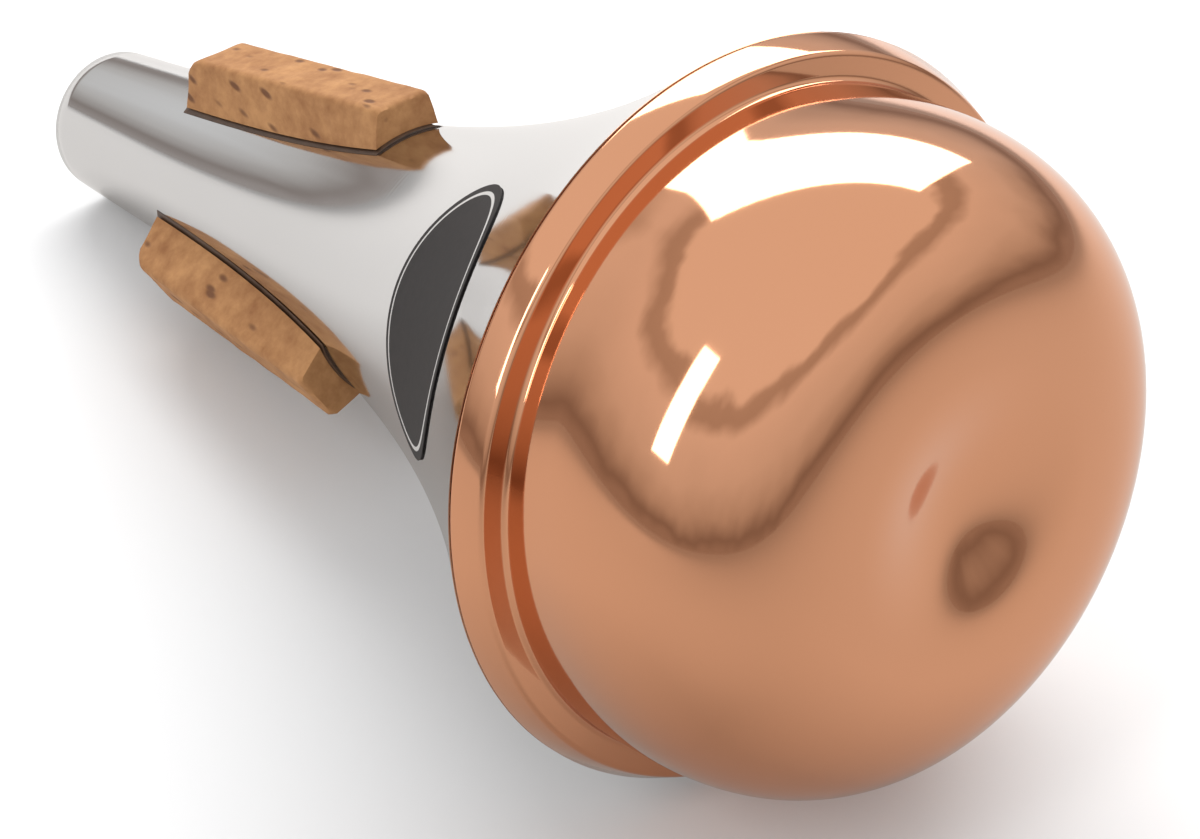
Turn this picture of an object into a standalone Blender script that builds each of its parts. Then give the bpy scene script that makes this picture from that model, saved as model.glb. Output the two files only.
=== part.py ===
"""A trumpet straight mute: an aluminium body, a domed copper bottom, three cork strips and a blank label.

The pieces are modelled on the mute's own axis, which runs up local Z from the small end to the dome.
One empty then lays the whole mute on its side, on its small end and its rim, with one cork on top.
"""

import math

import bmesh
import bpy
from mathutils import Matrix, Vector

# Driving sizes, in metres and degrees
TIP_RADIUS = 0.0121
BODY_LENGTH = 0.1603
NECK_TAPER = 0.0685
FLARE_START = 0.030
FLARE_REACH = 0.1216
FLARE_RISE = 0.02434
FLARE_POWER = 2.7
WALL = 0.0010
GAP = 0.0003

BAND_HEIGHT = 0.0041
BAND_TAPER = 0.0014
BAND_ROUND = 0.0008
BAND_DEPTH = 0.0026
SPIGOT_LENGTH = 0.0020
SEALANT_THICK = 0.0006

FACE_WIDTH = 0.0041
GROOVE_ROUND = 0.0009
DOME_SHOULDER = 0.0070
DOME_RISE = 0.0287
CREST_RADIUS = 0.0206
DOME_FULLNESS = 2.43
DISH_DEPTH = 0.0042

CORK_COUNT = 3
CORK_START = 0.0349
CORK_LENGTH = 0.0525
CORK_WIDTH = 0.0116
CORK_TOP_WIDTH = 0.0096
CORK_FAR_HEIGHT = 0.0076
CORK_NEAR_HEIGHT = 0.0057
CORK_NOSE = 0.0045
FIRST_CORK_ANGLE = 180.0
GLUE_THICK = 0.0005
GLUE_MARGIN = 0.0004

LABEL_CENTRE = 0.1296
LABEL_HALF_HEIGHT = 0.0130
LABEL_ANGLE = 239.0
LABEL_HALF_ANGLE = 32.3
LABEL_THICK = 0.0003

STEPS = 64
NECK_RINGS = 6
FLARE_RINGS = 12
DOME_RINGS = 14
DISH_RINGS = 6
HALF_STEP = math.pi / STEPS


def body_radius(z):
    """Outer radius of the aluminium body: a tapered neck, then a flare that follows a power curve."""
    flare = max(z - FLARE_START, 0.0) / FLARE_REACH
    return TIP_RADIUS + NECK_TAPER * z + FLARE_RISE * flare ** FLARE_POWER


def body_slope(z):
    step = 1e-5
    return (body_radius(z + step) - body_radius(z - step)) / (2 * step)


def inner_point(z, thickness):
    """The point a given thickness inside the body's outer surface, square to it."""
    slope = body_slope(z)
    square = math.hypot(1.0, slope)
    return body_radius(z) - thickness / square, z + thickness * slope / square


def spread(start, end, count):
    return [start + (end - start) * i / count for i in range(count + 1)]


def material(name, colour, roughness, metallic):
    made = bpy.data.materials.new(name)
    made.use_nodes = True
    shader = made.node_tree.nodes["Principled BSDF"]
    shader.inputs["Base Color"].default_value = (*colour, 1.0)
    shader.inputs["Roughness"].default_value = roughness
    shader.inputs["Metallic"].default_value = metallic
    return made


def finish(bm, name, finish_material, parent, sharp_degrees=35.0):
    """Turns a bmesh into a shaded object under the mute's axis."""
    bmesh.ops.remove_doubles(bm, verts=bm.verts, dist=1e-6)
    bmesh.ops.recalc_face_normals(bm, faces=bm.faces)
    mesh = bpy.data.meshes.new(name)
    bm.to_mesh(mesh)
    bm.free()
    mesh.shade_smooth()
    mesh.set_sharp_from_angle(angle=math.radians(sharp_degrees))
    made = bpy.data.objects.new(name, mesh)
    bpy.context.scene.collection.objects.link(made)
    made.data.materials.append(finish_material)
    made.parent = parent
    return made


def turned(outline, steps=STEPS):
    """Spins an outline of (radius, height) points round the axis. It closes at the axis or on itself."""
    bm = bmesh.new()
    turn = Matrix.Rotation(HALF_STEP, 3, "Z")
    points = [bm.verts.new(turn @ Vector((r, 0.0, z))) for r, z in outline]
    edges = [bm.edges.new(pair) for pair in zip(points, points[1:])]
    if outline[0][0] > 1e-7:
        edges.append(bm.edges.new((points[-1], points[0])))
    bmesh.ops.spin(
        bm, geom=points + edges, axis=(0, 0, 1), cent=(0, 0, 0), angle=math.tau, steps=steps, use_merge=True
    )
    return bm


# Sizes worked out from the driving ones
rim_radius = body_radius(BODY_LENGTH)
spigot_radius = rim_radius - BAND_DEPTH - GAP
spigot_top = BODY_LENGTH + SPIGOT_LENGTH
band_foot = BODY_LENGTH + GAP
face_height = band_foot + BAND_HEIGHT
face_outer = rim_radius - BAND_TAPER
face_inner = face_outer - FACE_WIDTH
shoulder_height = face_height + DOME_SHOULDER
crest_height = shoulder_height + DOME_RISE
dome_reach = face_inner - CREST_RADIUS
facet = math.cos(HALF_STEP)
tilt = math.atan2((rim_radius - TIP_RADIUS) * facet, BODY_LENGTH)


def body_outline():
    """Outer side from the small end to the spigot, then back down the inner side."""
    heights = spread(0.0, FLARE_START, NECK_RINGS)[:-1] + spread(FLARE_START, BODY_LENGTH, FLARE_RINGS)
    outer = [(body_radius(z), z) for z in heights]
    step = [(spigot_radius, BODY_LENGTH), (spigot_radius, spigot_top), (spigot_radius - WALL, spigot_top)]
    below_step = spigot_radius - WALL
    inner = [inner_point(z, WALL) for z in heights]
    inner = [(r, z) for r, z in inner if r < below_step - WALL and z > WALL]
    inner.append((spigot_radius - WALL, BODY_LENGTH - WALL))
    inner.sort(key=lambda point: -point[1])
    mouth = [(TIP_RADIUS - WALL, 0.0)]
    return outer + step + inner + mouth


def dome_point(angle, thickness):
    """A point of the dome's side, from its shoulder (0) to its crest (90 degrees)."""
    power = 2.0 / DOME_FULLNESS
    reach = dome_reach - thickness
    rise = DOME_RISE - thickness
    radius = CREST_RADIUS + reach * math.cos(angle) ** power
    return radius, shoulder_height + rise * math.sin(angle) ** power


def dish_point(share, thickness):
    """A point of the dished centre, from the crest (0) to the axis (1)."""
    drop = DISH_DEPTH * (1 - math.cos(math.pi * share)) / 2
    return CREST_RADIUS * (1 - share), crest_height - drop - thickness


def dome_side(thickness):
    angles = [math.pi / 2 * i / DOME_RINGS for i in range(DOME_RINGS)]
    side = [dome_point(angle, thickness) for angle in angles]
    return side + [dish_point(share, thickness) for share in spread(0.0, 1.0, DISH_RINGS)]


def groove(centre_radius, centre_height, size, steps=3):
    """A quarter turn that rounds the corner between the front ring and the dome's wall."""
    turns = spread(0.0, math.pi / 2, steps)
    return [(centre_radius - size * math.sin(t), centre_height - size * math.cos(t)) for t in turns]


def cap_outline():
    """Top of the dome at the axis, down its outside, round the rim band, and back up its inside."""
    outside = dome_side(0.0)[::-1]
    corner = groove(face_inner + GROOVE_ROUND, face_height + GROOVE_ROUND, GROOVE_ROUND)[::-1]
    band = [
        (face_outer - BAND_ROUND, face_height),
        (face_outer, face_height - BAND_ROUND),
        (rim_radius, band_foot + BAND_ROUND),
        (rim_radius, band_foot),
        (rim_radius - BAND_DEPTH, band_foot),
        (rim_radius - BAND_DEPTH, face_height - WALL),
        (face_inner - WALL, face_height - WALL),
    ]
    return outside + corner + band + dome_side(WALL)


def cork_prism(start, length, base_width, top_width, far_height, near_height, sink, nose):
    """A bar along the neck at azimuth 0, with a slanted top, narrower above, and a rounded far end."""
    near = start + length
    far_top = body_radius(start) + far_height
    near_top = body_radius(near) + near_height
    floor = body_radius(start) - sink
    bm = bmesh.new()
    rounding = spread(0.0, 1.0, 4)
    stations = []
    for share in rounding:
        turn = share * math.pi / 2
        z = start + nose * (1 - math.cos(turn))
        drop = nose * (1 - math.sin(turn))
        stations.append((z, drop))
    stations.append((near, 0.0))
    rings = []
    for z, drop in stations:
        top = far_top + (near_top - far_top) * (z - start) / length - drop
        half_base = base_width / 2
        half_top = top_width / 2
        corners = [(floor, -half_base), (top, -half_top), (top, half_top), (floor, half_base)]
        rings.append([bm.verts.new((x, y, z)) for x, y in corners])
    for low, high in zip(rings, rings[1:]):
        for i in range(4):
            j = (i + 1) % 4
            bm.faces.new((low[i], low[j], high[j], high[i]))
    bm.faces.new(rings[0])
    bm.faces.new(rings[-1][::-1])
    return bm


def neck_solid(name, offset, low, high, parent):
    """A hidden cutter: the body's outer shape grown by an offset."""
    heights = spread(low, high, 24)
    outline = [(0.0, high)] + [(body_radius(max(z, 0.0)) + offset, z) for z in heights[::-1]] + [(0.0, low)]
    made = finish(turned(outline), name, aluminium, parent)
    made.hide_render = True
    made.display_type = "WIRE"
    made.hide_set(True)
    return made


def cut(piece, cutter, operation):
    modifier = piece.modifiers.new(cutter.name, "BOOLEAN")
    modifier.object = cutter
    modifier.operation = operation
    modifier.solver = "EXACT"


def label_mesh(along=20, across=6):
    """An oval sheet wrapped on the flare, a gap above the metal."""
    bm = bmesh.new()
    inner = []
    outer = []
    for i in range(along + 1):
        share = -math.cos(math.pi * (i + 0.35) / (along + 0.7))
        half = LABEL_HALF_HEIGHT * math.sqrt(1 - share * share)
        azimuth = math.radians(LABEL_ANGLE + LABEL_HALF_ANGLE * share)
        rows = []
        for j in range(across + 1):
            z = LABEL_CENTRE + half * (2 * j / across - 1)
            for lift, side in ((GAP + facet_sag, inner), (GAP + facet_sag + LABEL_THICK, outer)):
                radius = body_radius(z) + lift
                point = bm.verts.new((radius * math.cos(azimuth), radius * math.sin(azimuth), z))
                rows.append((side, point))
        for side in (inner, outer):
            side.append([point for owner, point in rows if owner is side])
    for i in range(along):
        for j in range(across):
            for side in (inner, outer):
                bm.faces.new((side[i][j], side[i + 1][j], side[i + 1][j + 1], side[i][j + 1]))
        for j in (0, across):
            bm.faces.new((inner[i][j], inner[i + 1][j], outer[i + 1][j], outer[i][j]))
    for i in (0, along):
        for j in range(across):
            bm.faces.new((inner[i][j], inner[i][j + 1], outer[i][j + 1], outer[i][j]))
    return bm


for old in list(bpy.data.objects):
    bpy.data.objects.remove(old, do_unlink=True)

aluminium = material("polished_aluminium", (0.80, 0.81, 0.82), 0.12, 1.0)
copper = material("polished_copper", (0.83, 0.47, 0.32), 0.12, 1.0)
cork_finish = material("cork", (0.46, 0.22, 0.09), 0.85, 0.0)
glue_finish = material("dark_glue", (0.05, 0.03, 0.02), 0.5, 0.0)
label_finish = material("dark_label", (0.06, 0.05, 0.05), 0.4, 0.0)
sealant_finish = material("grey_sealant", (0.35, 0.35, 0.34), 0.6, 0.0)

mute_axis = bpy.data.objects.new("mute_axis", None)
bpy.context.scene.collection.objects.link(mute_axis)
mute_axis.rotation_euler = (0.0, math.pi / 2 - tilt, 0.0)

finish(turned(body_outline()), "body_shell", aluminium, mute_axis)
finish(turned(cap_outline()), "bottom_cap", copper, mute_axis)

sealant_foot = spigot_top + GAP
sealant_top = min(sealant_foot + SEALANT_THICK, face_height - WALL - GAP)
sealant_ring = [
    (spigot_radius, sealant_top),
    (spigot_radius, sealant_foot),
    (spigot_radius - WALL, sealant_foot),
    (spigot_radius - WALL, sealant_top),
]
finish(turned(sealant_ring), "rim_sealant", sealant_finish, mute_axis)

facet_sag = GAP
glue_foot = GAP
glue_top = glue_foot + GLUE_THICK
cork_foot = glue_top + GAP
cutter_low = CORK_START - CORK_LENGTH / 4
cutter_high = CORK_START + CORK_LENGTH * 1.25
cork_cutter = neck_solid("cork_cutter", cork_foot, cutter_low, cutter_high, mute_axis)
glue_inner = neck_solid("glue_inner_cutter", glue_foot, cutter_low - WALL, cutter_high + WALL, mute_axis)
glue_outer = neck_solid("glue_outer_limit", glue_top, cutter_low, cutter_high, mute_axis)

for number in range(CORK_COUNT):
    turn = math.radians(FIRST_CORK_ANGLE + number * 360.0 / CORK_COUNT)
    bar = cork_prism(
        CORK_START,
        CORK_LENGTH,
        CORK_WIDTH,
        CORK_TOP_WIDTH,
        CORK_FAR_HEIGHT,
        CORK_NEAR_HEIGHT,
        CORK_WIDTH / 4,
        CORK_NOSE,
    )
    bmesh.ops.rotate(bar, verts=bar.verts, cent=(0, 0, 0), matrix=Matrix.Rotation(turn, 3, "Z"))
    strip = finish(bar, f"cork_strip_{number + 1}", cork_finish, mute_axis)
    cut(strip, cork_cutter, "DIFFERENCE")
    film = cork_prism(
        CORK_START + GLUE_MARGIN,
        CORK_LENGTH - 2 * GLUE_MARGIN,
        CORK_WIDTH - 2 * GLUE_MARGIN,
        CORK_WIDTH - 2 * GLUE_MARGIN,
        CORK_FAR_HEIGHT,
        CORK_NEAR_HEIGHT,
        CORK_WIDTH / 4,
        GLUE_MARGIN,
    )
    bmesh.ops.rotate(film, verts=film.verts, cent=(0, 0, 0), matrix=Matrix.Rotation(turn, 3, "Z"))
    glue = finish(film, f"cork_glue_{number + 1}", glue_finish, mute_axis)
    cut(glue, glue_outer, "INTERSECT")
    cut(glue, glue_inner, "DIFFERENCE")

finish(label_mesh(), "oval_label", label_finish, mute_axis)

# The mute is set down with its lowest points on Z = 0 and the middle of its length and width at the origin
bpy.context.view_layer.update()
corners = []
for name in ("body_shell", "bottom_cap", "cork_strip_1"):
    piece = bpy.data.objects[name]
    corners += [piece.matrix_world @ vertex.co for vertex in piece.data.vertices]
lows = [min(corner[i] for corner in corners) for i in range(3)]
highs = [max(corner[i] for corner in corners) for i in range(3)]
mute_axis.location = (-(lows[0] + highs[0]) / 2, -(lows[1] + highs[1]) / 2, -lows[2])
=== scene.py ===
import math

import bmesh
import bpy
from mathutils import Matrix, Vector
from mathutils import noise as mathNoise


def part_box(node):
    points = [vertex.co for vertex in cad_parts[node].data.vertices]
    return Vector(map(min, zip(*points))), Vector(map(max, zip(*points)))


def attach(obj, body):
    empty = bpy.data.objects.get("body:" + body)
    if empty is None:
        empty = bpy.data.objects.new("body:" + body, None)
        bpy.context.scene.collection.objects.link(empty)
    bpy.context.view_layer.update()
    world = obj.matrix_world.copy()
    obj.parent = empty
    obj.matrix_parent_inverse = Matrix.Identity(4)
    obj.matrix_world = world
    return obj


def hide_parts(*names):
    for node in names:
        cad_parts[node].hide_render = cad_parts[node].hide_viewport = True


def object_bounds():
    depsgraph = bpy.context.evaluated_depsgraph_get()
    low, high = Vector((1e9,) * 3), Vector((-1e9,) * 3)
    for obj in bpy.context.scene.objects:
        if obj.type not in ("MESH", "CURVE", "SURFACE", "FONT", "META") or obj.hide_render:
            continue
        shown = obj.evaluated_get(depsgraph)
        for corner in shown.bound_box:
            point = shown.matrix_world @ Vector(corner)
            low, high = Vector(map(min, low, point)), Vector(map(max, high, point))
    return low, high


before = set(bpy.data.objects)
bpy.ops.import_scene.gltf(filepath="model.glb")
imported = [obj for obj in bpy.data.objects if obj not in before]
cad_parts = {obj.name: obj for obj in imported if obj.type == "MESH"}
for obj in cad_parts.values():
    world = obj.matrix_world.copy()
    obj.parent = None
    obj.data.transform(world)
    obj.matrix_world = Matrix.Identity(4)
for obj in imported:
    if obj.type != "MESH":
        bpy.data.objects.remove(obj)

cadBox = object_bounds()
print("frame loaded")

# Sizes that the pieces share, in metres, the same as in the solids
mute = {
    "tipRadius": 0.0121,
    "bodyLength": 0.1603,
    "neckTaper": 0.0685,
    "flareStart": 0.030,
    "flareReach": 0.1216,
    "flareRise": 0.02434,
    "flarePower": 2.7,
    "wall": 0.0010,
    "gap": 0.0003,
    "solidSteps": 64,  # facets round the solids, which set how far the mute leans
}
samePlace = 1e-7


def bodyRadius(z):
    flare = max(z - mute["flareStart"], 0.0) / mute["flareReach"]
    return mute["tipRadius"] + mute["neckTaper"] * z + mute["flareRise"] * flare ** mute["flarePower"]


def bodySlope(z, step=1e-5):
    return (bodyRadius(z + step) - bodyRadius(z - step)) / (2 * step)


# Every piece is shaped round an upright axis, from the small end up, and then laid down
rimRadius = bodyRadius(mute["bodyLength"])
facet = math.cos(math.pi / mute["solidSteps"])
tilt = math.atan2((rimRadius - mute["tipRadius"]) * facet, mute["bodyLength"])
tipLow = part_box("body_shell")[0]
tipCentre = Vector((
    tipLow[0] + mute["tipRadius"] * facet * math.sin(tilt),
    0.0,
    mute["tipRadius"] * facet * math.cos(tilt),
))
layDown = Matrix.Translation(tipCentre) @ Matrix.Rotation(math.pi / 2 - tilt, 4, "Y")
muteAxis = (layDown.to_3x3() @ Vector((0, 0, 1))).normalized()


def spread(start, end, count):
    return [start + (end - start) * i / count for i in range(count + 1)]


def finishMesh(bm, name, material, node, smoothAngle):
    bmesh.ops.remove_doubles(bm, verts=bm.verts, dist=samePlace)
    bmesh.ops.recalc_face_normals(bm, faces=bm.faces)
    bmesh.ops.transform(bm, matrix=layDown, verts=bm.verts)
    mesh = bpy.data.meshes.new(name)
    bm.to_mesh(mesh)
    bm.free()
    mesh.shade_smooth()
    mesh.set_sharp_from_angle(angle=math.radians(smoothAngle))
    mesh.materials.append(material)
    piece = bpy.data.objects.new(name, mesh)
    bpy.context.scene.collection.objects.link(piece)
    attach(piece, "root")
    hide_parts(node)


def lathe(outline, steps):
    bm = bmesh.new()
    points = [bm.verts.new((r, 0.0, z)) for r, z in outline]
    edges = [bm.edges.new(pair) for pair in zip(points, points[1:])]
    startsOffAxis = outline[0][0] > samePlace
    if startsOffAxis:
        edges.append(bm.edges.new((points[-1], points[0])))
    bmesh.ops.spin(
        bm,
        geom=points + edges,
        axis=(0, 0, 1),
        cent=(0, 0, 0),
        angle=math.tau,
        steps=steps,
        use_merge=True,
    )
    return bm


def roundCorner(centre, size, start, end, steps=6):
    turns = [math.radians(angle) for angle in spread(start, end, steps)]
    return [(centre[0] + size * math.cos(t), centre[1] + size * math.sin(t)) for t in turns]


def raiseCopy(bm):
    # Closes a flat sheet into a slab one unit high
    made = bmesh.ops.extrude_face_region(bm, geom=bm.faces[:])
    lifted = [v for v in made["geom"] if isinstance(v, bmesh.types.BMVert)]
    bmesh.ops.translate(bm, verts=lifted, vec=(0, 0, 1))


# Materials
def newMaterial(name):
    material = bpy.data.materials.new(name)
    material.use_nodes = True
    tree = material.node_tree
    return material, tree, tree.nodes["Principled BSDF"]


def addNode(tree, kind, **values):
    node = tree.nodes.new(kind)
    for key, value in values.items():
        setattr(node, key, value)
    return node


def mathStep(tree, operation, first, second):
    node = addNode(tree, "ShaderNodeMath", operation=operation)
    for socket, value in zip(node.inputs, (first, second)):
        if isinstance(value, (int, float)):
            socket.default_value = value
        else:
            tree.links.new(value, socket)
    return node.outputs[0]


def noiseOn(tree, coords, scale, detail):
    noise = addNode(tree, "ShaderNodeTexNoise", noise_dimensions="3D")
    noise.inputs["Scale"].default_value = scale
    noise.inputs["Detail"].default_value = detail
    tree.links.new(coords, noise.inputs["Vector"])
    return noise


def mixedColour(tree, factor, colour, second):
    mix = addNode(tree, "ShaderNodeMix", data_type="RGBA")
    for socket, value in ((mix.inputs["A"], colour), (mix.inputs["B"], second)):
        if isinstance(value, tuple):
            socket.default_value = (*value, 1)
        else:
            tree.links.new(value, socket)
    tree.links.new(factor, mix.inputs["Factor"])
    return mix.outputs["Result"]


def addBump(tree, shader, height, strength, distance):
    bump = tree.nodes.new("ShaderNodeBump")
    bump.inputs["Strength"].default_value = strength
    bump.inputs["Distance"].default_value = distance
    tree.links.new(height, bump.inputs["Height"])
    tree.links.new(bump.outputs["Normal"], shader.inputs["Normal"])


def makeSpunGroup():
    # Fine rings left by spinning and polishing, as a height and a roughness
    group = bpy.data.node_groups.new("spunRings", "ShaderNodeTree")
    for socket in ("Density", "Base Roughness", "Roughness Swing"):
        group.interface.new_socket(socket, in_out="INPUT", socket_type="NodeSocketFloat")
    for socket in ("Height", "Roughness"):
        group.interface.new_socket(socket, in_out="OUTPUT", socket_type="NodeSocketFloat")
    start = group.nodes.new("NodeGroupInput")
    end = group.nodes.new("NodeGroupOutput")
    coords = group.nodes.new("ShaderNodeTexCoord").outputs["Object"]
    along = addNode(group, "ShaderNodeVectorMath", operation="DOT_PRODUCT")
    along.inputs[1].default_value = muteAxis
    group.links.new(coords, along.inputs[0])
    scaled = mathStep(group, "MULTIPLY", along.outputs["Value"], start.outputs["Density"])
    rings = addNode(group, "ShaderNodeTexNoise", noise_dimensions="1D")
    rings.inputs["Scale"].default_value = 1.0
    rings.inputs["Detail"].default_value = 4.0
    group.links.new(scaled, rings.inputs["W"])
    smears = noiseOn(group, coords, scale=38.0, detail=3.0)
    swing = mathStep(group, "MULTIPLY", smears.outputs["Fac"], start.outputs["Roughness Swing"])
    rough = mathStep(group, "ADD", swing, start.outputs["Base Roughness"])
    group.links.new(rings.outputs["Fac"], end.inputs["Height"])
    group.links.new(rough, end.inputs["Roughness"])
    return group


spunRings = makeSpunGroup()


def spunMetal(name, colour, dullColour, ringDensity, roughness, swing, bumpDistance):
    material, tree, shader = newMaterial(name)
    rings = addNode(tree, "ShaderNodeGroup", node_tree=spunRings)
    rings.inputs["Density"].default_value = ringDensity
    rings.inputs["Base Roughness"].default_value = roughness
    rings.inputs["Roughness Swing"].default_value = swing
    coords = tree.nodes.new("ShaderNodeTexCoord").outputs["Object"]
    film = noiseOn(tree, coords, scale=14.0, detail=2.0)
    tone = mixedColour(tree, film.outputs["Fac"], colour, dullColour)
    tree.links.new(tone, shader.inputs["Base Color"])
    tree.links.new(rings.outputs["Roughness"], shader.inputs["Roughness"])
    addBump(tree, shader, rings.outputs["Height"], strength=0.12, distance=bumpDistance)
    shader.inputs["Metallic"].default_value = 1.0
    return material


def corkMaterial(name, look):
    material, tree, shader = newMaterial(name)
    coords = tree.nodes.new("ShaderNodeTexCoord").outputs["Object"]
    grain = noiseOn(tree, coords, scale=420.0, detail=6.0)
    grain.inputs["Roughness"].default_value = 0.62
    patches = noiseOn(tree, coords, scale=90.0, detail=3.0)
    grainPart = mathStep(tree, "MULTIPLY", grain.outputs["Fac"], look["grainShare"])
    patchPart = mathStep(tree, "MULTIPLY", patches.outputs["Fac"], 1 - look["grainShare"])
    tone = mathStep(tree, "ADD", grainPart, patchPart)
    ramp = tree.nodes.new("ShaderNodeValToRGB")
    for element, (place, colour) in zip(ramp.color_ramp.elements, look["tones"]):
        element.position = place
        element.color = (*colour, 1)
    tree.links.new(tone, ramp.inputs["Fac"])

    # Pores, drawn out along the mute
    stretch = tree.nodes.new("ShaderNodeMapping")
    stretch.inputs["Scale"].default_value = look["poreStretch"]
    tree.links.new(coords, stretch.inputs["Vector"])
    pores = addNode(tree, "ShaderNodeTexVoronoi", feature="F1")
    pores.inputs["Scale"].default_value = 300.0
    tree.links.new(stretch.outputs["Vector"], pores.inputs["Vector"])
    poreMask = addNode(tree, "ShaderNodeMapRange", interpolation_type="SMOOTHSTEP")
    poreMask.inputs["From Min"].default_value = look["poreInner"]
    poreMask.inputs["From Max"].default_value = look["poreOuter"]
    tree.links.new(pores.outputs["Distance"], poreMask.inputs["Value"])
    pitted = mixedColour(tree, poreMask.outputs["Result"], look["poreColour"], ramp.outputs["Color"])
    tree.links.new(pitted, shader.inputs["Base Color"])
    height = mathStep(tree, "ADD", tone, poreMask.outputs["Result"])
    addBump(tree, shader, height, strength=0.55, distance=0.0002)
    shader.inputs["Roughness"].default_value = 0.82
    return material


def plainMaterial(name, colour, second, roughness, grainScale, bumpDistance):
    material, tree, shader = newMaterial(name)
    coords = tree.nodes.new("ShaderNodeTexCoord").outputs["Object"]
    noise = noiseOn(tree, coords, scale=grainScale, detail=4.0)
    tone = mixedColour(tree, noise.outputs["Fac"], colour, second)
    tree.links.new(tone, shader.inputs["Base Color"])
    addBump(tree, shader, noise.outputs["Fac"], strength=0.3, distance=bumpDistance)
    shader.inputs["Roughness"].default_value = roughness
    return material


def addBorder(material, edgeName, start, end, colour):
    # A thin line round a piece whose mesh says how near to its edge each point is
    tree = material.node_tree
    shader = tree.nodes["Principled BSDF"]
    shader.inputs["Specular IOR Level"].default_value = 0.2
    edge = addNode(tree, "ShaderNodeAttribute", attribute_name=edgeName).outputs["Fac"]
    past = mathStep(tree, "GREATER_THAN", edge, start)
    before = mathStep(tree, "LESS_THAN", edge, end)
    line = mathStep(tree, "MULTIPLY", past, before)
    tone = shader.inputs["Base Color"].links[0].from_socket
    tree.links.new(mixedColour(tree, line, tone, colour), shader.inputs["Base Color"])


aluminium = spunMetal(
    "polishedAluminium", (0.68, 0.68, 0.685), (0.62, 0.615, 0.61),
    ringDensity=1800.0, roughness=0.05, swing=0.05, bumpDistance=0.00002,
)
copper = spunMetal(
    "polishedCopper", (0.72, 0.355, 0.205), (0.68, 0.32, 0.175),
    ringDensity=1500.0, roughness=0.04, swing=0.04, bumpDistance=0.00001,
)
cork = corkMaterial("cutCork", {
    "tones": [(0.32, (0.27, 0.108, 0.033)), (0.72, (0.53, 0.27, 0.105))],
    "grainShare": 0.55,
    "poreStretch": (0.35, 1.0, 1.0),
    "poreInner": 0.10,
    "poreOuter": 0.24,
    "poreColour": (0.15, 0.056, 0.018),
})
glue = plainMaterial(
    "darkGlue", (0.035, 0.018, 0.010), (0.11, 0.06, 0.035),
    roughness=0.42, grainScale=500.0, bumpDistance=0.00005,
)
sealant = plainMaterial(
    "greySealant", (0.30, 0.30, 0.29), (0.40, 0.40, 0.39),
    roughness=0.6, grainScale=300.0, bumpDistance=0.00005,
)
labelPaper = plainMaterial(
    "darkLabel", (0.020, 0.018, 0.018), (0.032, 0.028, 0.027),
    roughness=0.62, grainScale=900.0, bumpDistance=0.000004,
)
addBorder(labelPaper, "edgeShare", start=0.905, end=0.935, colour=(0.52, 0.50, 0.48))
print("materials made")

# Aluminium body
bodyShape = {
    "steps": 192,
    "neckRings": 10,
    "flareRings": 60,
    "spigotLength": 0.0020,
    "bandDepth": 0.0026,
    "lipBevel": 0.35,  # share of the wall, on each side of the small end
    "smoothAngle": 50,
}


def buildBody(s):
    wall = mute["wall"]
    heights = spread(0.0, mute["flareStart"], s["neckRings"])[:-1]
    heights += spread(mute["flareStart"], mute["bodyLength"], s["flareRings"])
    outer = [(bodyRadius(z), z) for z in heights]
    spigot = rimRadius - s["bandDepth"] - mute["gap"]
    top = mute["bodyLength"] + s["spigotLength"]
    step = [(spigot, mute["bodyLength"]), (spigot, top), (spigot - wall, top)]

    # The inside, a wall's thickness in, where it is clear of the spigot and of the lip
    inner = []
    for z in heights:
        slope = bodySlope(z)
        square = math.hypot(1.0, slope)
        radius = bodyRadius(z) - wall / square
        height = z + wall * slope / square
        if radius < spigot - 2 * wall and height > wall:
            inner.append((radius, height))
    inner.reverse()

    tip = mute["tipRadius"]
    bevel = wall * s["lipBevel"]
    lip = [(tip - wall, bevel), (tip - wall * (1 - s["lipBevel"]), 0.0)]
    foot = [(tip - bevel, 0.0), (tip, bevel)]
    outline = foot + outer[1:] + step + inner + lip
    turned = lathe(outline, s["steps"])
    finishMesh(turned, "bodyShell", aluminium, "body_shell", s["smoothAngle"])


buildBody(bodyShape)
print("body made")

# Copper bottom
capShape = {
    "steps": 192,
    "footGap": 0.00005,
    "bandHeight": 0.0041,
    "bandTaper": 0.0014,
    "bandRound": 0.0009,
    "backRound": 0.6,  # share of bandRound
    "faceWidth": 0.0041,
    "grooveRound": 0.0009,
    "domeShoulder": 0.0070,
    "domeRise": 0.0287,
    "crestRadius": 0.0206,
    "domeFullness": 2.43,
    "dishDepth": 0.0042,
    "domeRings": 60,
    "dishRings": 36,
    "smoothAngle": 50,
}


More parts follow.
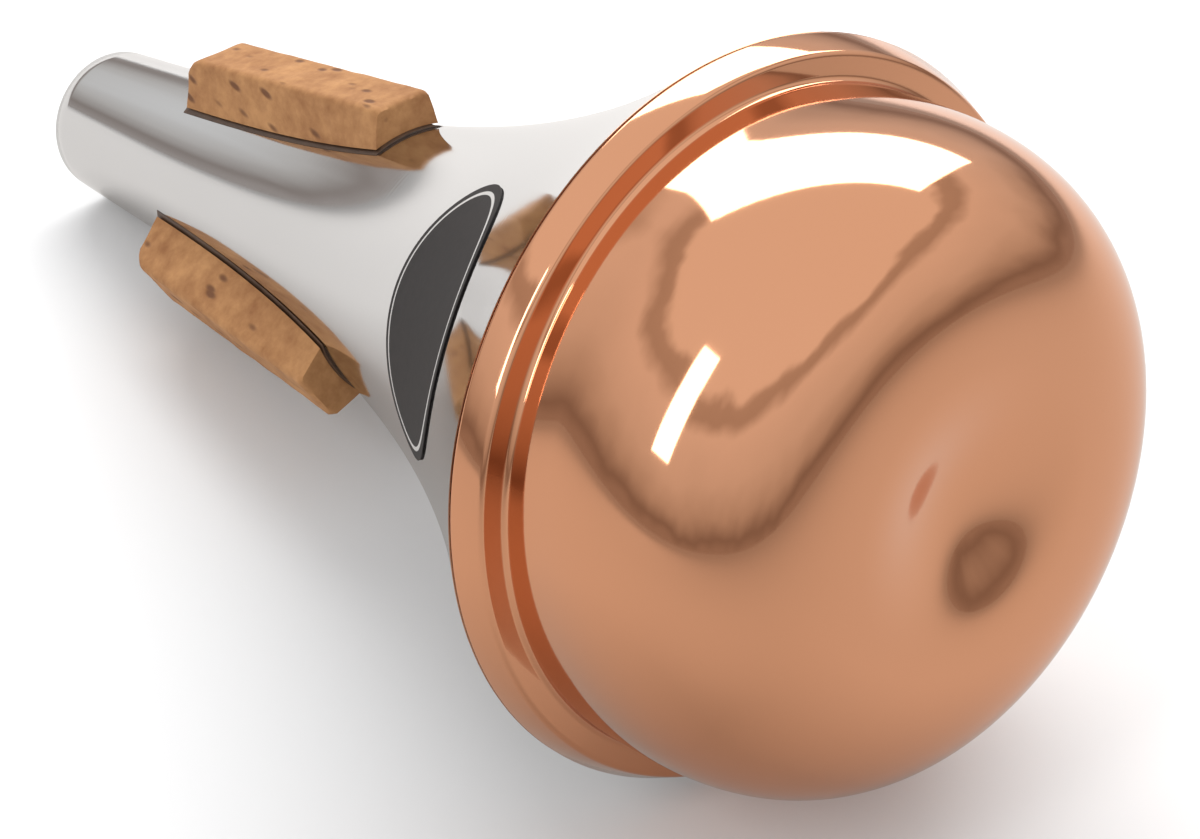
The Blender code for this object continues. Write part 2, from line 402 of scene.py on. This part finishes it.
def buildCap(s):
    wall = mute["wall"]
    foot = mute["bodyLength"] + s["footGap"]
    face = mute["bodyLength"] + mute["gap"] + s["bandHeight"]
    outerRadius = rimRadius - s["bandTaper"]
    innerRadius = outerRadius - s["faceWidth"]
    shoulder = face + s["domeShoulder"]
    crest = shoulder + s["domeRise"]
    reach = innerRadius - s["crestRadius"]
    power = 2.0 / s["domeFullness"]

    def side(thickness):
        # From the shoulder over the crest to the middle of the dish
        points = []
        for i in range(s["domeRings"]):
            angle = math.pi / 2 * i / s["domeRings"]
            radius = s["crestRadius"] + (reach - thickness) * math.cos(angle) ** power
            points.append((radius, shoulder + (s["domeRise"] - thickness) * math.sin(angle) ** power))
        for share in spread(0.0, 1.0, s["dishRings"]):
            drop = s["dishDepth"] * (1 - math.cos(math.pi * share)) / 2
            points.append((s["crestRadius"] * (1 - share), crest - drop - thickness))
        return points

    groove = s["grooveRound"]
    front = s["bandRound"]
    back = front * s["backRound"]
    seat = rimRadius - bodyShape["bandDepth"]
    outline = side(0.0)[::-1]
    outline += roundCorner((innerRadius + groove, face + groove), groove, 180, 270)
    outline += roundCorner((outerRadius - front, face - front), front, 90, 15)
    outline += roundCorner((rimRadius - back, foot + back), back, 10, -90, steps=5)
    outline += [(seat, foot), (seat, face - wall), (innerRadius - wall, face - wall)]
    outline += side(wall)
    turned = lathe(outline, s["steps"])
    finishMesh(turned, "bottomCap", copper, "bottom_cap", s["smoothAngle"])


buildCap(capShape)
print("copper bottom made")

# Cork strips and the glue under them
corkShape = {
    "count": 3,
    "firstAngle": 180.0,
    "start": 0.0349,
    "length": 0.0525,
    "width": 0.0116,
    "topWidth": 0.0096,
    "farHeight": 0.0076,
    "nearHeight": 0.0057,
    "nose": 0.0045,
    "edgeRound": 0.0009,
    "edgeDrop": 0.55,  # share of edgeRound
    "leastHeight": 0.001,
    "grow": 0.0,
    "lift": 0.00055,
    "wobble": 0.00012,
    "seed": 0.0,
    "seedStep": 7.0,
}
glueShape = {
    "grow": 0.0005,
    "lift": 0.00004,
    "wobble": 0.00005,
    "leastHeight": 0.00025,
    "crown": 0.00055,
    "sideRise": 5,
    "endRise": 30,
    "seed": 3.0,
    "seedStep": 5.0,
}
stripMesh = {
    "alongCells": 70,
    "acrossCells": 16,
    "heightCuts": 9,
    "wobbleScale": 260,
    "wobbleRise": 3,  # how fast the sides' wobble grows from the foot up
    "noiseSeed": 7,
    "smoothAngle": 60,
}


def roundDrop(distance, size):
    # How far an edge rounded over this size has dropped, this far in from the edge
    if distance >= size:
        return 0.0
    share = 1 - max(distance, 0.0) / size
    return size * (1 - math.sqrt(1 - share * share))


def corkTop(along, across, base):
    s = corkShape
    far = bodyRadius(s["start"]) + s["farHeight"]
    near = bodyRadius(s["start"] + s["length"]) + s["nearHeight"]
    top = far + (near - far) * along - roundDrop(along * s["length"], s["nose"])
    fromSide = (1 - abs(across)) * s["topWidth"] / 2
    fromNearEnd = (1 - along) * s["length"]
    for distance in (fromSide, fromNearEnd):
        top -= s["edgeDrop"] * roundDrop(distance, s["edgeRound"])
    return max(top, base + s["leastHeight"])


def glueTop(along, across, base):
    s = glueShape
    rise = min((1 - abs(across)) * s["sideRise"], along * s["endRise"], (1 - along) * s["endRise"], 1)
    return base + s["leastHeight"] + s["crown"] * math.sin(rise * math.pi / 2)


def buildStrip(number, name, material, node, s, topOf):
    bm = bmesh.new()
    bmesh.ops.create_grid(
        bm, x_segments=stripMesh["alongCells"], y_segments=stripMesh["acrossCells"], size=0.5
    )
    raiseCopy(bm)
    uprights = [e for e in bm.edges if abs(e.verts[0].co.z - e.verts[1].co.z) > 0.5]
    bmesh.ops.subdivide_edges(bm, edges=uprights, cuts=stripMesh["heightCuts"], use_grid_fill=True)
    start = corkShape["start"] - s["grow"]
    length = corkShape["length"] + 2 * s["grow"]
    narrowing = corkShape["topWidth"] - corkShape["width"]
    seedShift = Vector((s["seed"] + s["seedStep"] * number, 0, 0))
    for v in bm.verts:
        along, across, up = v.co.x + 0.5, v.co.y * 2, v.co.z
        z = start + length * along
        y = ((corkShape["width"] + narrowing * up) / 2 + s["grow"]) * across
        base = math.sqrt((bodyRadius(z) + s["lift"]) ** 2 - y * y)
        x = base + (topOf(along, across, base) - base) * up
        place = Vector((x, y, z)) * stripMesh["wobbleScale"] + seedShift
        shift = mathNoise.noise_vector(place) * s["wobble"]
        fade = min(1, up * stripMesh["wobbleRise"])
        v.co = (x + shift.x * up, y + shift.y * fade, z + shift.z * fade)
    turn = math.radians(corkShape["firstAngle"] + 360.0 / corkShape["count"] * number)
    bmesh.ops.rotate(bm, verts=bm.verts, cent=(0, 0, 0), matrix=Matrix.Rotation(turn, 3, "Z"))
    finishMesh(bm, name, material, node, stripMesh["smoothAngle"])


mathNoise.seed_set(stripMesh["noiseSeed"])
for number in range(corkShape["count"]):
    mark = number + 1
    buildStrip(number, f"corkStrip{mark}", cork, f"cork_strip_{mark}", corkShape, corkTop)
    buildStrip(number, f"corkGlue{mark}", glue, f"cork_glue_{mark}", glueShape, glueTop)
print("corks and glue made")

# Blank oval label
labelShape = {
    "centre": 0.1296,
    "halfHeight": 0.0130,
    "angle": 239.0,
    "halfAngle": 32.3,
    "thick": 0.00022,
    "lift": 0.00006,
    "rows": 56,
    "smoothAngle": 50,
}


def buildLabel(s):
    bm = bmesh.new()
    bmesh.ops.create_grid(bm, x_segments=s["rows"], y_segments=s["rows"], size=1.0)
    share = bm.verts.layers.float.new("edgeShare")
    for v in bm.verts:
        # Draws the square into a disc
        across, along = v.co.x, v.co.y
        v.co.x = across * math.sqrt(1 - along * along / 2)
        v.co.y = along * math.sqrt(1 - across * across / 2)
        v[share] = v.co.xy.length
    raiseCopy(bm)
    for v in bm.verts:
        azimuth = math.radians(s["angle"] + s["halfAngle"] * v.co.x)
        z = s["centre"] + s["halfHeight"] * v.co.y
        r = bodyRadius(z) + s["lift"] + s["thick"] * v.co.z
        v.co = (r * math.cos(azimuth), r * math.sin(azimuth), z)
    finishMesh(bm, "ovalLabel", labelPaper, "oval_label", s["smoothAngle"])


buildLabel(labelShape)
print("label made")

# The ring of sealant keeps its solid's shape
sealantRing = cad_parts["rim_sealant"]
sealantRing.data.materials.clear()
sealantRing.data.materials.append(sealant)

# Camera, where the photograph was taken from
view = {
    "location": (0.2653, -0.2281, 0.3098),
    "right": (0.65479, 0.75382, 0.05485),
    "up": (-0.51667, 0.39346, 0.76042),
    "back": (0.55163, -0.52626, 0.64711),
    "lens": 90.0,
    "sensor": 36.0,
    "nearClip": 0.01,
}
cameraData = bpy.data.cameras.new("camera")
cameraData.lens = view["lens"]
cameraData.sensor_width = view["sensor"]
cameraData.clip_start = view["nearClip"]
camera = bpy.data.objects.new("camera", cameraData)
bpy.context.scene.collection.objects.link(camera)
turnMatrix = Matrix((view["right"], view["up"], view["back"])).transposed().to_4x4()
camera.matrix_world = Matrix.Translation(view["location"]) @ turnMatrix
bpy.context.scene.camera = camera
print("camera placed")

# Floor, a little duller in what the metal mirrors
floorLook = {"size": 3.0, "drop": 0.0002, "colour": (0.84, 0.84, 0.84), "mirrored": (0.62, 0.60, 0.58)}


def makeFloor(s):
    bm = bmesh.new()
    bmesh.ops.create_grid(bm, x_segments=1, y_segments=1, size=s["size"])
    mesh = bpy.data.meshes.new("floor")
    bm.to_mesh(mesh)
    bm.free()
    floor = bpy.data.objects.new("floor", mesh)
    bpy.context.scene.collection.objects.link(floor)
    floor.location.z = min(0.0, cadBox[0][2]) - s["drop"]
    material, tree, shader = newMaterial("paleFloor")
    shader.inputs["Roughness"].default_value = 0.9
    rays = tree.nodes.new("ShaderNodeLightPath")
    tone = mixedColour(tree, rays.outputs["Is Glossy Ray"], s["colour"], s["mirrored"])
    tree.links.new(tone, shader.inputs["Base Color"])
    mesh.materials.append(material)


makeFloor(floorLook)
print("floor made")

# World: plain light, a white background, and a room for the metal to mirror
studio = {
    "light": (0.95, 0.95, 0.96),
    "strength": 0.75,
    "background": (1, 1, 1),
    "waveScale": 3.0,
    "waveDetail": 3.0,
    "waveHeight": 0.22,
    # Tones from the floor line up: dark at its foot, then pale, with one duller band
    "roomTones": [
        (0.0, (0.40, 0.36, 0.34)),
        (0.05, (0.30, 0.26, 0.24)),
        (0.16, (0.60, 0.58, 0.56)),
        (0.30, (0.80, 0.80, 0.80)),
        (0.52, (0.92, 0.92, 0.93)),
        (0.60, (0.55, 0.51, 0.48)),
        (0.66, (0.58, 0.54, 0.51)),
        (0.70, (1.0, 1.0, 1.0)),
        (0.84, (1.0, 1.0, 1.0)),
    ],
}


def makeWorld(s):
    world = bpy.data.worlds.new("studio")
    bpy.context.scene.world = world
    world.use_nodes = True
    tree = world.node_tree
    light = tree.nodes["Background"]
    light.inputs["Color"].default_value = (*s["light"], 1)
    light.inputs["Strength"].default_value = s["strength"]

    coords = tree.nodes.new("ShaderNodeTexCoord").outputs["Generated"]
    waves = noiseOn(tree, coords, s["waveScale"], s["waveDetail"])
    direction = tree.nodes.new("ShaderNodeSeparateXYZ")
    tree.links.new(coords, direction.inputs["Vector"])
    centred = mathStep(tree, "SUBTRACT", waves.outputs["Fac"], 0.5)
    wave = mathStep(tree, "MULTIPLY", centred, s["waveHeight"])
    rise = mathStep(tree, "ADD", direction.outputs["Z"], wave)
    room = tree.nodes.new("ShaderNodeValToRGB")
    for place, tone in s["roomTones"][1:-1]:
        room.color_ramp.elements.new(place)
    for element, (place, tone) in zip(room.color_ramp.elements, s["roomTones"]):
        element.position = place
        element.color = (*tone, 1)
    tree.links.new(rise, room.inputs["Fac"])

    rays = tree.nodes.new("ShaderNodeLightPath").outputs
    shown = addNode(tree, "ShaderNodeBackground")
    tone = mixedColour(tree, rays["Is Glossy Ray"], s["background"], room.outputs["Color"])
    tree.links.new(tone, shown.inputs["Color"])
    seen = mathStep(tree, "MAXIMUM", rays["Is Camera Ray"], rays["Is Glossy Ray"])
    seen = mathStep(tree, "MAXIMUM", seen, rays["Is Transmission Ray"])
    choose = tree.nodes.new("ShaderNodeMixShader")
    tree.links.new(seen, choose.inputs["Fac"])
    tree.links.new(light.outputs["Background"], choose.inputs[1])
    tree.links.new(shown.outputs["Background"], choose.inputs[2])
    tree.links.new(choose.outputs["Shader"], tree.nodes["World Output"].inputs["Surface"])


makeWorld(studio)

# Lamps, which face the middle of the mute
lampTarget = Vector((0, 0, 0.04))


def softbox(name, location, size, power):
    data = bpy.data.lights.new(name, "AREA")
    data.shape = "RECTANGLE"
    data.size, data.size_y = size
    data.energy = power
    lamp = bpy.data.objects.new(name, data)
    bpy.context.scene.collection.objects.link(lamp)
    facing = (lampTarget - Vector(location)).to_track_quat("-Z", "Y").to_matrix().to_4x4()
    lamp.matrix_world = Matrix.Translation(location) @ facing


softbox("backLight", (-0.42, 0.46, 0.66), (1.1, 0.5), 9.0)
softbox("frontLight", (0.05, -0.95, 0.75), (0.25, 0.7), 3.0)
bpy.context.scene.view_settings.view_transform = "Standard"
print("lights placed")

print("scene made")
